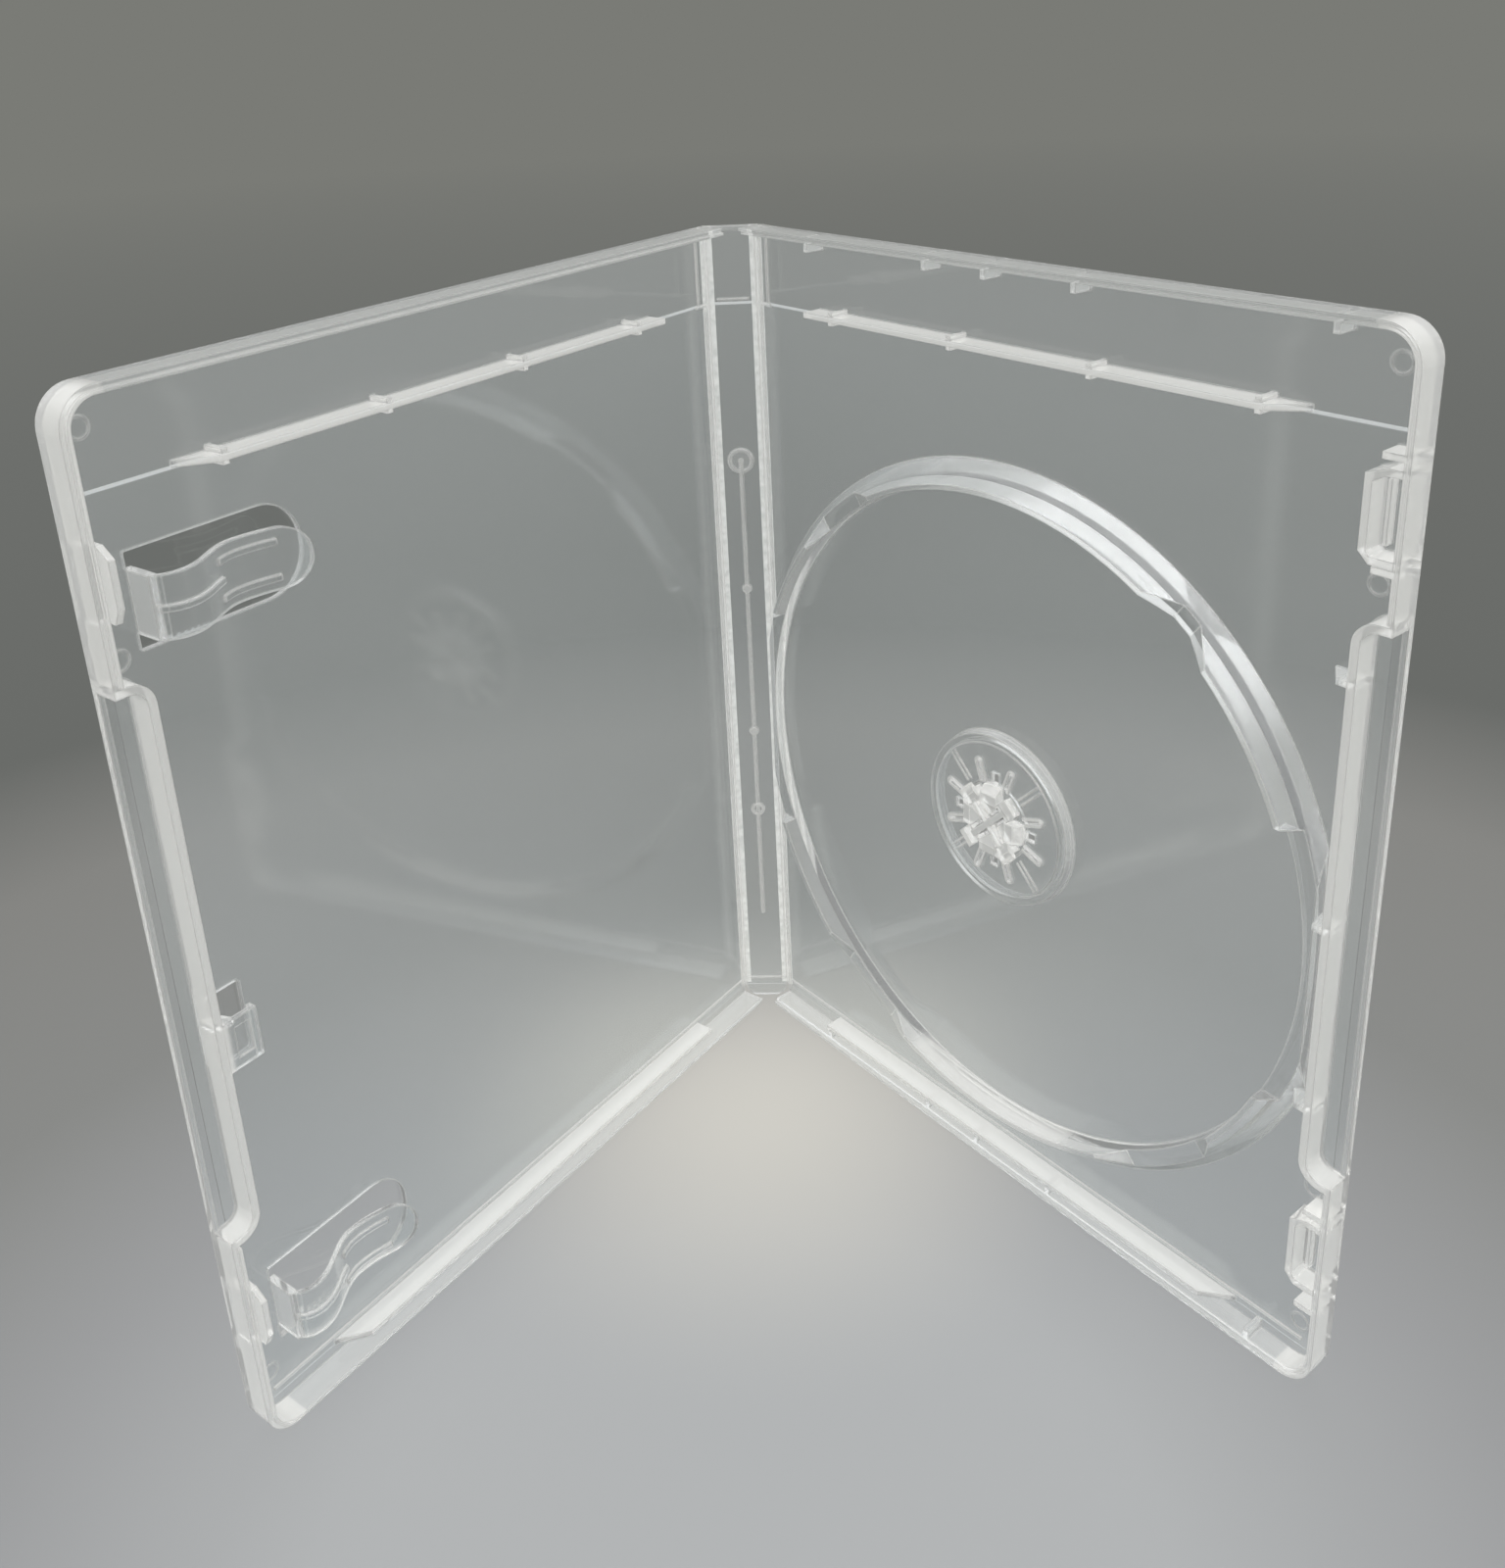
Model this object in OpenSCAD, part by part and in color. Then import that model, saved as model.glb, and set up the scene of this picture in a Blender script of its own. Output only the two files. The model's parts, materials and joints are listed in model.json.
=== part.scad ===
// Clear moulded disc case, standing open on its lower edges.
// Each half is drawn flat: x runs from its hinge to the free edge, y is the height
// and z points into the case. open_half() then swings it to its opening angle.

/* [Case] */
// Height of the case
case_h = 171.5; // [165:0.5:190]
// Width of one half, from the hinge axis to the free edge
leaf_w = 133.5; // [130:0.5:150]
// Distance between the two hinge axes, which is also the depth between the closed halves
hinge_pitch = 9.8; // [9.4:0.1:16]
// Thickness of the flat walls
wall_t = 0.9; // [0.7:0.1:1.2]
// Radius of the corners at the free edge
corner_r = 5.5; // [4:0.5:9]

/* [Opening] */
// Angle of the front cover from flat open
cover_angle = 56.3; // [40:0.1:75]
// Angle of the disc tray from flat open
tray_angle = 48.8; // [40:0.1:75]

/* [Rim] */
// Thickness of the rim around each half
rim_t = 1.3; // [1.1:0.1:1.8]
// Thickness of the outer lip on the tray rim, outside the tongue
lip_t = 0.6; // [0.5:0.05:0.7]
// Height of the tongue above the cover rim
tongue_h = 0.5; // [0.3:0.1:0.8]
// Gap between the closed rims
rim_gap = 0.1; // [0.05:0.05:0.3]
// Clearance around the tongue
tongue_gap = 0.15; // [0.1:0.05:0.2]
// Distance from the hinge axis to the end of each rim
rim_start = 0.8; // [0.7:0.1:1.6]

/* [Thumb notch] */
// Length of the thumb notch
notch_len = 90; // [60:1:110]
// Depth of the thumb notch from the free edge
notch_depth = 4.3; // [3.5:0.1:6]
// Radius at the inner corners of the thumb notch
notch_r = 2.4; // [1.5:0.1:3.5]

/* [Hinges] */
// Radius of the hinge beads on the spine
bead_r = 0.4; // [0.35:0.05:0.45]
// Clearance between a bead and its half
bead_gap = 0.2; // [0.15:0.05:0.3]
// Radius of the lower corners of the spine
spine_foot_r = 2.6; // [1.5:0.1:3.5]

/* [Header] */
// Width of the header band above the film sleeve
header_band = 14.4; // [10:0.1:20]
// Distance of the stop ribs from the hinge axis
stop_start = 18; // [14:0.5:30]
// Distance from the far ends of the stop ribs to the free edge
stop_end = 16.5; // [12:0.5:30]
// Thickness of the stop ribs
stop_t = 1; // [0.7:0.1:1.4]
// Height of the stop ribs above the panel
stop_h = 3.9; // [2.5:0.1:4.2]
// Gap between the bottom rim and the lower stop rib
stop_foot_gap = 1.6; // [1:0.1:3]

/* [Disc well] */
// Diameter of the well that takes the disc
well_d = 121.2; // [120.6:0.2:123]
// Distance of the disc centre from the hinge axis
disc_u = 63.6; // [62.8:0.1:66]
// Height of the disc centre
disc_v = 73.1; // [71:0.1:86]
// Width of the well ridge at its crest
well_t = 0.9; // [0.7:0.1:1.6]
// Width of the slope outside the crest of the well ridge
well_slope = 3.8; // [1:0.1:4.4]
// Height of the well wall above the panel
well_h = 4.9; // [3.6:0.1:5.2]
// Height of the well ridge where fingers or clips pass
well_low_h = 2.2; // [1.6:0.1:2.6]
// Length of the ramps down to the low stretches
ramp_len = 5.5; // [3:0.5:7]

/* [Hub] */
// Radius of the hub rim
hub_r = 16; // [15:0.1:18]
// Radius of the hub plateau
plateau_r = 14.5; // [12.5:0.1:14.8]
// Height of the hub rim above the panel
hub_h = 2; // [1.6:0.1:2.4]
// Height of the plateau above the hub rim
plateau_step = 0.25; // [0.1:0.05:0.5]
// Radius of the hole around the push button
button_hole_r = 7.3; // [7.1:0.05:7.4]
// Clearance around the push button
button_gap = 0.15; // [0.1:0.05:0.3]
// Outer radius of the flexing slots
slot_end_r = 11.4; // [10:0.1:12.4]
// Width of the flexing slots
slot_w = 0.7; // [0.5:0.1:1]
// Angle of the slots from the petal axes
slot_angle = 20; // [16:1:24]
// Radius over the claws that hold the disc
claw_r = 7.75; // [7.5:0.05:8]
// Thickness of a disc
disc_t = 1.2; // [1.1:0.05:1.3]

/* [Booklet clips] */
// Distance of the clip roots from the free edge
clip_inset = 7.5; // [7:0.1:9.5]
// Length of a clip arm
clip_len = 25.2; // [20:0.2:30]
// Width of a clip arm
clip_w = 9.2; // [7:0.2:11]
// Thickness of a clip arm
clip_t = 1; // [0.8:0.1:1.2]
// Height of the middle of the lower clip
clip_low_v = 20; // [18:0.5:26]
// Distance from the middle of the upper clip to the top of the case
clip_high_drop = 30.5; // [26:0.5:44]
// Height of the clip crest above the panel
clip_crest_h = 6.4; // [5:0.1:7]
// Height of the clip where it presses on a booklet
clip_press_h = 2.2; // [1.6:0.1:3]
// Height of the clip tip above the panel
clip_tip_h = 5.1; // [3.5:0.1:5.4]
// Width of the window beside a clip arm
clip_window_side = 2.4; // [1.5:0.1:3]

/* [Latches] */
// Distance of the latches above and below the middle of the case
latch_off = 60.5; // [55:0.5:64]
// Length of a latch tab
tab_len = 10.5; // [8:0.1:12]
// Thickness of a latch tab
tab_t = 1; // [0.8:0.1:1.2]
// Reach of a latch tab beyond the cover rim
tab_reach = 2.2; // [1.6:0.1:2.8]
// Clearance around a latch tab in its box
tab_gap = 0.3; // [0.2:0.05:0.5]
// Wall of a latch box
box_t = 1.1; // [0.8:0.1:1.4]
// Room in a latch box from the rim to its wall
box_room = 3.9; // [3:0.1:4.2]

/* [Sleeve] */
// Thickness of the film sleeve
film_t = 0.15; // [0.1:0.05:0.2]
// Distance of the film from the lower and free edges
film_edge = 2.5; // [1.5:0.5:4]
// Air between the film and the wall it lies on
film_gap = 0.05; // [0.02:0.01:0.1]

/* [Hidden] */
$fn = 72;
clear_pp = [0.86, 0.87, 0.87];
frost_pp = [0.93, 0.93, 0.91];
film_tint = [0.78, 0.8, 0.82];
// Overlap that fuses the parts of one moulding
fuse = 0.05;
face = wall_t / 2;
rim_top = (hinge_pitch - rim_gap) / 2;
rebate = rim_top - tongue_h - tongue_gap;
leaf_start = bead_r + bead_gap;
notch_lo = (case_h - notch_len) / 2;
notch_hi = notch_lo + notch_len;
notch_u = leaf_w - notch_depth;
notch_wall_u = notch_u - rim_t;
header_h = case_h - header_band;
stop_len = leaf_w - stop_start - stop_end;
clip_root = leaf_w - clip_inset;
clip_high_v = case_h - clip_high_drop;
latch_lo = case_h / 2 - latch_off;
latch_hi = case_h / 2 + latch_off;
hook_v = notch_lo + notch_len * 0.3;
// Inset of the ejector pins from the free edge
pin_in = 4.9;
gusset_t = 1;
gusset_h = rebate - face;
bead_rib_h = 0.3;
pad_line_h = 4.8;

// Rounded outline with exact arcs, from corner a to corner b
module rounded(a, b, r) {
    translate([a[0] + r, a[1]]) square([b[0] - a[0] - 2 * r, b[1] - a[1]]);
    translate([a[0], a[1] + r]) square([b[0] - a[0], b[1] - a[1] - 2 * r]);
    for (x = [a[0] + r, b[0] - r], y = [a[1] + r, b[1] - r]) translate([x, y]) circle(r);
}

// Outline of one half, drawn in by inset at the top, bottom and free edge
module leaf_outline(inset = 0) {
    r = corner_r - inset;
    end_u = leaf_w - inset;
    translate([leaf_start, inset]) square([end_u - r - leaf_start, case_h - 2 * inset]);
    translate([leaf_start, corner_r]) square([end_u - leaf_start, case_h - 2 * corner_r]);
    for (v = [corner_r, case_h - corner_r]) translate([end_u - r, v]) circle(r);
}

// Outline of the thumb notch, grown by the given wall
module notch_outline(grow = 0) {
    rounded([notch_u - grow, notch_lo - grow], [leaf_w + 10, notch_hi + grow], notch_r + grow);
}

// Band of the rim between two depths from the edge, from height z0 to z1
module rim_band(from, to, z0, z1) {
    translate([0, 0, z0]) linear_extrude(z1 - z0) intersection() {
        difference() {
            leaf_outline(from);
            leaf_outline(to);
            notch_outline();
        }
        translate([rim_start, -1]) square([leaf_w, case_h + 2]);
    }
}

// Wall that carries the rim around the thumb notch
module notch_wall(z1) {
    translate([0, 0, face - fuse]) linear_extrude(z1 - face + fuse) intersection() {
        leaf_outline();
        difference() {
            notch_outline(rim_t);
            notch_outline();
        }
    }
}

// Flat panel with its rim foot, notch wall and notch lip, common to both halves
module leaf_shell() {
    translate([0, 0, -face]) linear_extrude(wall_t) leaf_outline();
    rim_band(0, rim_t, face - fuse, rebate);
    notch_wall(rim_top);
    lip_w = 0.8;
    translate([leaf_w - lip_w, notch_lo, face - fuse]) cube([lip_w, notch_len, bead_rib_h + fuse]);
}

// Small upright plate across the height, used where ribs and rims are stiffened
module gusset(u, v0, v1) {
    translate([u - gusset_t / 2, v0, face - fuse]) cube([gusset_t, v1 - v0, gusset_h + fuse]);
}

// Long stop rib with a square end near the hinge and a slanted far end
module stop_rib(v) {
    slant = 5;
    translate([0, v + stop_t / 2, 0]) rotate([90, 0, 0]) linear_extrude(stop_t) polygon([
        [stop_start, face - fuse],
        [stop_start + stop_len, face - fuse],
        [stop_start + stop_len, face],
        [stop_start + stop_len - slant, face + stop_h],
        [stop_start, face + stop_h]
    ]);
}

// Stop ribs, their gussets and the gussets of the top and bottom rims
module leaf_ribs(gussets_on_rim) {
    head_v = header_h + 0.4;
    foot_v = rim_t + stop_foot_gap + stop_t / 2;
    rib_gussets = [for (k = [0:3]) stop_start + stop_len * (0.07 + 0.29 * k)];
    rim_gussets = leaf_w * [0.142, 0.36, 0.457, 0.592, 0.91];
    stop_rib(head_v);
    stop_rib(foot_v);
    for (u = rib_gussets) gusset(u, head_v - 1.1, head_v + 1.2);
    if (gussets_on_rim) for (u = rim_gussets) {
        gusset(u, rim_t - fuse, rim_t + stop_foot_gap + fuse);
        gusset(u, case_h - rim_t - 1.5, case_h - rim_t + fuse);
    }
}

// Low beads that frame the header beside the hinge and run along the foot
module leaf_beads(full) {
    bead_w = 0.45;
    z0 = face - fuse;
    h = bead_rib_h + fuse;
    translate([3.2, header_h, z0]) cube([bead_w, case_h - header_h - 3 * bead_w, h]);
    translate([leaf_start + 0.6, rim_t + 1, z0])
        cube([bead_w, (full ? case_h : header_h) - rim_t - 2, h]);
    translate([leaf_start + 0.6, pad_line_h - bead_w / 2, z0]) cube([leaf_w - 5.5, bead_w, h]);
    translate([leaf_start + 0.6, header_h - bead_w, z0]) cube([3.05, bead_w, h]);
}

// Marks left by the ejector pins
module pin_marks(places) {
    for (p = places) translate([p[0], p[1], face - fuse]) difference() {
        cylinder(h = 0.12 + fuse, r = 1.6);
        translate([0, 0, fuse]) cylinder(h = 1, r = 1.35);
    }
}

// Middle line of a clip arm: from its crest down to the booklet and up to the tip
crest_u = clip_root - 4;
press_u = clip_root - clip_len * 0.575;
tip_u = clip_root - clip_len;
function arm_w(u) =
    u > crest_u
        ? face + clip_crest_h - 3.2 * (1 - sqrt(max(0, 1 - pow((u - crest_u) / 4, 2))))
    : u > press_u
        ? face + (clip_crest_h + clip_press_h) / 2
            + (clip_crest_h - clip_press_h) / 2 * cos(180 * (crest_u - u) / (crest_u - press_u))
        : face + clip_press_h
            + (clip_tip_h - clip_press_h) * (1 - cos(90 * (press_u - u) / (press_u - tip_u)));

// Profile of the arm between two distances, from lo to hi about its middle line
function arm_side(u0, u1, off, n) =
    [for (k = [0:n]) let (u = u0 + (u1 - u0) * k / n) [u, arm_w(u) + off]];
function reversed(p) = [for (k = [len(p) - 1:-1:0]) p[k]];
module arm_profile(u0, u1, lo, hi, n) {
    polygon(concat(arm_side(u0, u1, lo, n), reversed(arm_side(u0, u1, hi, n))));
}

// Stretch of arm of the given width, centred on height v
module arm_strip(v, width, u0, u1, lo, hi, n) {
    translate([0, v + width / 2, 0]) rotate([90, 0, 0]) linear_extrude(width)
        arm_profile(u0, u1, lo, hi, n);
}

// Window that the mould leaves around a clip arm
module clip_window(v) {
    half = clip_w / 2 + clip_window_side;
    translate([0, 0, -1]) linear_extrude(3) intersection() {
        rounded([tip_u - 2.2, v - half], [clip_root + 3 * half, v + half], half - 0.4);
        translate([0, v - half]) square([clip_root, 2 * half]);
    }
}

// Springy booklet clip, rooted on the panel and bent like an S above its window
module booklet_clip(v) {
    half = clip_t / 2;
    knee = clip_root - 0.25;
    intersection() {
        arm_strip(v, clip_w, tip_u, knee, -half, half, 28);
        translate([0, 0, -1]) linear_extrude(20) rounded(
            [tip_u, v - clip_w / 2], [clip_root + 10, v + clip_w / 2], clip_w / 2 - 0.3);
    }
    translate([knee - clip_t, v - clip_w / 2, -face])
        cube([clip_t + 0.25 + fuse, clip_w, arm_w(knee) + face + half]);
    translate([clip_root - fuse, v - clip_w / 2, -face]) cube([0.5, clip_w, wall_t]);
    arm_strip(v, 0.9, clip_root - 11.5, knee, 0, half + 0.7, 14);
    for (s = [-1, 1])
        arm_strip(v + s * clip_w * 0.29, 0.9, press_u - 6, press_u + 3.5, 0, half + 0.4, 10);
}

// Short rigid hook that holds the middle of a booklet, beside the thumb notch
module middle_hook() {
    hook_len = 8.4;
    hook_w = 6;
    hook_t = 0.9;
    z = face + 3;
    translate([notch_wall_u - hook_w, hook_v, z]) difference() {
        cube([hook_w + fuse, hook_len, hook_t]);
        translate([1.4, 1.8, hook_t - 0.3]) cube([2.6, hook_len - 3.2, 1]);
    }
    translate([notch_wall_u - hook_w, hook_v, z - 0.6]) cube([0.8, hook_len, 0.7]);
    translate([notch_wall_u - 2.4, hook_v + hook_len, face - fuse]) rotate([90, 0, 0])
        linear_extrude(1) polygon([[1.2, 0], [2.4 + fuse, 0], [2.4 + fuse, 3.2], [0, 3.2]]);
}
module middle_hook_window() {
    translate([0, 0, -1]) linear_extrude(3)
        rounded([notch_wall_u - 6.4, hook_v - 0.8], [notch_wall_u - 1.3, hook_v + 11.2], 0.6);
}

// Latch tab on the cover: a chamfered plate that enters the latch box of the tray
module latch_tab(v) {
    tab_out = leaf_w - rim_t - tab_gap;
    top = rim_top + tab_reach;
    translate([tab_out, v - tab_len / 2, 0]) rotate([90, 0, -90]) linear_extrude(tab_t)
        mirror([1, 0]) polygon([
            [0, face - fuse], [tab_len, face - fuse], [tab_len, top - 2.2],
            [tab_len - 1.6, top], [2.2, top], [0, top - 1.2]
        ]);
    translate([tab_out - fuse, v - tab_len / 2, face - fuse])
        cube([tab_gap + 2 * fuse, tab_len, rebate - face]);
}

// Latch box on the tray: walls around the place where the cover's tab snaps in
module latch_box(v) {
    in_u = leaf_w - rim_t - box_room;
    half = tab_len / 2 + tab_gap;
    z0 = face - fuse;
    h = rim_top - tongue_h - face;
    chamfer = 1.6;
    translate([0, 0, z0]) linear_extrude(h) difference() {
        polygon([
            [in_u - box_t, v - half - box_t + chamfer], [in_u - box_t + chamfer, v - half - box_t],
            [leaf_w - rim_t + fuse, v - half - box_t], [leaf_w - rim_t + fuse, v + half + box_t],
            [in_u - box_t + 2 * chamfer, v + half + box_t], [in_u - box_t, v + half]
        ]);
        polygon([
            [in_u, v - half + 0.6], [in_u + 0.6, v - half], [leaf_w, v - half],
            [leaf_w, v + half], [in_u + 1.8, v + half], [in_u, v + half - 1]
        ]);
    }
    translate([in_u + 0.9, v - half + 1, z0]) cube([0.6, 2 * half - 2, 1.6]);
}

// Moves a half from its flat drawing to its place on the spine
module open_half(angle) {
    translate([hinge_pitch / 2, 0, 0]) rotate([90, 0, -angle]) children();
}
module front_half() { mirror([1, 0, 0]) open_half(cover_angle) children(); }
module rear_half() { open_half(tray_angle) children(); }

// Ridge around the disc well, with an upright inner wall and a sloping outer one
module well_ridge() {
    r = well_d / 2;
    rotate_extrude() polygon([
        [r, -fuse], [r + well_t + well_slope, -fuse], [r + well_t, well_h], [r, well_h]
    ]);
}

// Cut that lowers the ridge over a stretch around one angle, with a ramp at each end
module low_stretch(angle, span, ramp) {
    low_half = well_d / 2 * sin(span / 2) - ramp;
    top_half = low_half + ramp * (well_h + 1 - well_low_h) / (well_h - well_low_h);
    rotate(angle - 90) translate([0, well_d / 2 + 9, 0]) rotate([90, 0, 0]) linear_extrude(18)
        polygon([
            [-top_half, well_h + 1], [-low_half, well_low_h],
            [low_half, well_low_h], [top_half, well_h + 1]
        ]);
}

// Disc well: its ridge is low at both sides and in four stretches, and ends straight beside
// the hinge and the thumb notch
module disc_well() {
    ramped = [[128.5, 21], [53, 14], [238, 24], [309.5, 27]];
    near_u = leaf_start + 1.3;
    far_u = notch_wall_u - 2.5;
    translate([0, 0, face]) intersection() {
        translate([disc_u, disc_v, 0]) difference() {
            well_ridge();
            for (c = ramped) low_stretch(c[0], c[1], ramp_len);
            low_stretch(180.5, 45, 0);
            low_stretch(0, 46, 0);
        }
        translate([near_u, 0, -1]) cube([far_u - near_u, case_h, 20]);
    }
}

// Outline of one flexing slot, open towards the button hole
module slot_outline(grow = 0) {
    w = slot_w + 2 * grow;
    translate([button_hole_r - 1, -w / 2]) square([slot_end_r - button_hole_r + 1 - slot_w / 2, w]);
    translate([slot_end_r - slot_w / 2, 0]) circle(w / 2);
}

// Hub of the tray: rim, plateau with flexing slots, and the hole for the push button
module hub_seat() {
    slot_rim = 0.45;
    plateau = hub_h + plateau_step;
    translate([disc_u, disc_v, face]) difference() {
        union() {
            rotate_extrude() polygon([
                [plateau_r + 0.4, -fuse], [hub_r + 0.3, -fuse], [hub_r, hub_h],
                [plateau_r, hub_h], [plateau_r, plateau], [0, plateau], [0, plateau - 1],
                [plateau_r + 0.4, plateau - 1]
            ]);
            for (q = [0:90:270], s = [-1, 1]) rotate(q + s * slot_angle)
                linear_extrude(plateau + 0.3) intersection() {
                    slot_outline(slot_rim);
                    circle(slot_end_r + slot_rim);
                }
            for (q = [45:90:315], s = [-1, 1]) rotate(q)
                translate([button_hole_r + 1, s * 0.5 - 0.15, plateau - fuse])
                    cube([plateau_r - button_hole_r - 1.4, 0.3, 0.2 + fuse]);
        }
        translate([0, 0, -fuse - 1]) cylinder(h = plateau, r = plateau_r + 0.3);
        translate([0, 0, -1]) cylinder(h = 10, r = button_hole_r);
        for (q = [0:90:270], s = [-1, 1]) rotate(q + s * slot_angle)
            translate([0, 0, -1]) linear_extrude(10) slot_outline();
        for (q = [0:90:270]) rotate(q) translate([button_hole_r - 1, -0.85, -1]) cube([3, 1.7, 10]);
    }
}

// Push button in the hub: four claws that hold the disc, joined by a raised cross
module hub_button_flat() {
    base_r = button_hole_r - button_gap;
    plateau = hub_h + plateau_step;
    under_lip = plateau + disc_t + 0.1;
    translate([disc_u, disc_v, face]) difference() {
        union() {
            translate([0, 0, plateau - 1]) cylinder(h = 0.8, r = base_r);
            for (q = [0:90:270]) rotate(q) intersection() {
                translate([0, 1.9, 0]) rotate([90, 0, 0]) linear_extrude(3.8) polygon([
                    [1, plateau - 0.6], [base_r, plateau - 0.6], [base_r, plateau + 0.5],
                    [base_r - 1.4, plateau + 1.8], [base_r - 3, plateau + 2], [1, plateau + 0.9]
                ]);
                cylinder(h = 20, r = base_r);
            }
            for (q = [45:90:315]) rotate(q) intersection() {
                translate([0, 1.7, 0]) rotate([90, 0, 0]) linear_extrude(3.4) polygon([
                    [4.4, plateau - 0.6], [base_r - 0.5, plateau - 0.6], [base_r - 0.5, under_lip],
                    [claw_r, under_lip + 0.2], [claw_r - 0.3, under_lip + 0.7],
                    [base_r - 1.2, under_lip + 0.9], [4.4, under_lip + 0.4]
                ]);
                cylinder(h = 20, r = claw_r);
            }
            for (q = [45, 135]) rotate(q)
                translate([-5, -0.6, plateau - 0.6]) cube([10, 1.2, 2.5]);
        }
        for (q = [45:90:315], s = [-1, 1]) rotate(q)
            translate([1.2, s * 1.05 - 0.3, -1]) cube([3, 0.6, 20]);
    }
}

module spine() {
    edge = hinge_pitch / 2 - bead_r;
    top_rib = 0.25;
    color(clear_pp) {
        translate([0, face, 0]) rotate([90, 0, 0]) linear_extrude(wall_t) {
            translate([-edge, spine_foot_r]) square([2 * edge, case_h - spine_foot_r]);
            translate([spine_foot_r - edge, 0]) square([2 * (edge - spine_foot_r), spine_foot_r + 1]);
            for (s = [-1, 1]) translate([s * (edge - spine_foot_r), spine_foot_r]) circle(spine_foot_r);
        }
        for (s = [-1, 1]) translate([s * hinge_pitch / 2, 0, spine_foot_r]) {
            cylinder(h = case_h - spine_foot_r, r = bead_r);
            translate([-s * (bead_r + 0.2) - 0.25, -0.2, 0]) cube([0.5, 0.4, case_h - spine_foot_r]);
        }
        translate([-edge, -face - top_rib, case_h - 0.8]) cube([2 * edge, top_rib + fuse, 0.8]);
        translate([-3, -face - bead_rib_h, header_h + 0.4]) cube([6, bead_rib_h + fuse, 0.4]);
        translate([-edge, -face - bead_rib_h, pad_line_h - 0.2]) cube([2 * edge, bead_rib_h + fuse, 0.4]);
        spine_gate();
    }
}

// Injection gate boss on the inner face of the spine, with its flow leader
module spine_gate() {
    gate_v = case_h * 0.7335;
    leader_len = case_h * 0.606;
    translate([0, -face + fuse, gate_v]) rotate([90, 0, 0]) {
        difference() {
            cylinder(h = 0.4 + fuse, r = 2.5);
            translate([0, 0, 0.2 + fuse]) cylinder(h = 1, r = 1.9);
        }
        cylinder(h = 0.4 + fuse, r = 0.45);
        translate([-0.3, -leader_len, 0]) cube([0.6, leader_len, 0.45 + fuse]);
        for (share = [0.26, 0.57])
            translate([0, -share * leader_len, 0]) cylinder(h = 0.55 + fuse, r = 0.9);
        translate([0, -0.75 * leader_len, 0]) difference() {
            cylinder(h = 0.55 + fuse, r = 1.4);
            translate([0, 0, 0.1 + fuse]) cylinder(h = 1, r = 0.9);
        }
    }
}

module front_cover() {
    color(clear_pp) front_half() {
        difference() {
            leaf_shell();
            for (v = [clip_low_v, clip_high_v]) clip_window(v);
            middle_hook_window();
        }
        rim_band(0, rim_t, rebate - fuse, rim_top);
        difference() {
            rim_band(lip_t + tongue_gap, rim_t, rim_top - fuse, rim_top + tongue_h);
            translate([0, 0, rim_top]) linear_extrude(2 * tongue_h)
                notch_outline(rim_t + tongue_gap);
        }
        leaf_ribs(false);
        leaf_beads(false);
        pin_marks([
            [leaf_w - pin_in, case_h - 6], [leaf_w - 4, notch_hi + 3.1],
            [leaf_w - pin_in, notch_lo - 3.1], [leaf_w - 4.3, 8.4]
        ]);
        for (v = [clip_low_v, clip_high_v]) booklet_clip(v);
        middle_hook();
        for (v = [latch_lo, latch_hi]) latch_tab(v);
    }
}

module disc_tray() {
    rim_in = leaf_w - rim_t;
    color(clear_pp) rear_half() {
        difference() {
            leaf_shell();
            translate([disc_u, disc_v, -1]) cylinder(h = 3, r = plateau_r + 0.3);
        }
        rim_band(0, lip_t, rebate - fuse, rim_top);
        leaf_ribs(true);
        leaf_beads(true);
        pin_marks([
            [leaf_w - pin_in, case_h - 6], [leaf_w - pin_in, notch_hi + 4.9],
            [notch_wall_u - 2.3, notch_lo + 17], [leaf_w - pin_in, notch_lo - 5.7],
            [leaf_w - pin_in, 8]
        ]);
        for (share = [0.114, 0.464, 0.897])
            translate([notch_wall_u - 1.6, notch_lo + share * notch_len, face - fuse])
                cube([1.6 + fuse, gusset_t, gusset_h + fuse]);
        for (v = [latch_lo - 10.7, latch_lo + 7.6, latch_hi - 7.8, latch_hi + 7.7])
            translate([rim_in - 3, v, face - fuse]) cube([3 + fuse, gusset_t, gusset_h + fuse]);
        for (v = [latch_lo, latch_hi]) latch_box(v);
        disc_well();
        hub_seat();
    }
}

module hub_button() { color(frost_pp) rear_half() hub_button_flat(); }

// Film on the outside of one half
module half_film() {
    translate([0, 0, -face - film_gap - film_t]) linear_extrude(film_t) rounded(
        [leaf_start + 0.6, film_edge], [leaf_w - film_edge, header_h], 1.2);
}
module sleeve_front() { color(film_tint) front_half() half_film(); }
module sleeve_rear() { color(film_tint) rear_half() half_film(); }
module sleeve_spine() {
    half = hinge_pitch / 2 - bead_r - 0.1;
    color(film_tint) translate([-half, face + film_gap, film_edge])
        cube([2 * half, film_t, header_h - film_edge]);
}

spine();
front_cover();
disc_tray();
hub_button();
sleeve_front();
sleeve_spine();
sleeve_rear();
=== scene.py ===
"""Clear moulded disc case, standing open: its plastics, the webs and tips of the moulding, studio and camera."""

import json
import math

import bmesh
import bpy
from bpy.props import FloatProperty, FloatVectorProperty, PointerProperty
from mathutils import Matrix, Vector


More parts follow.
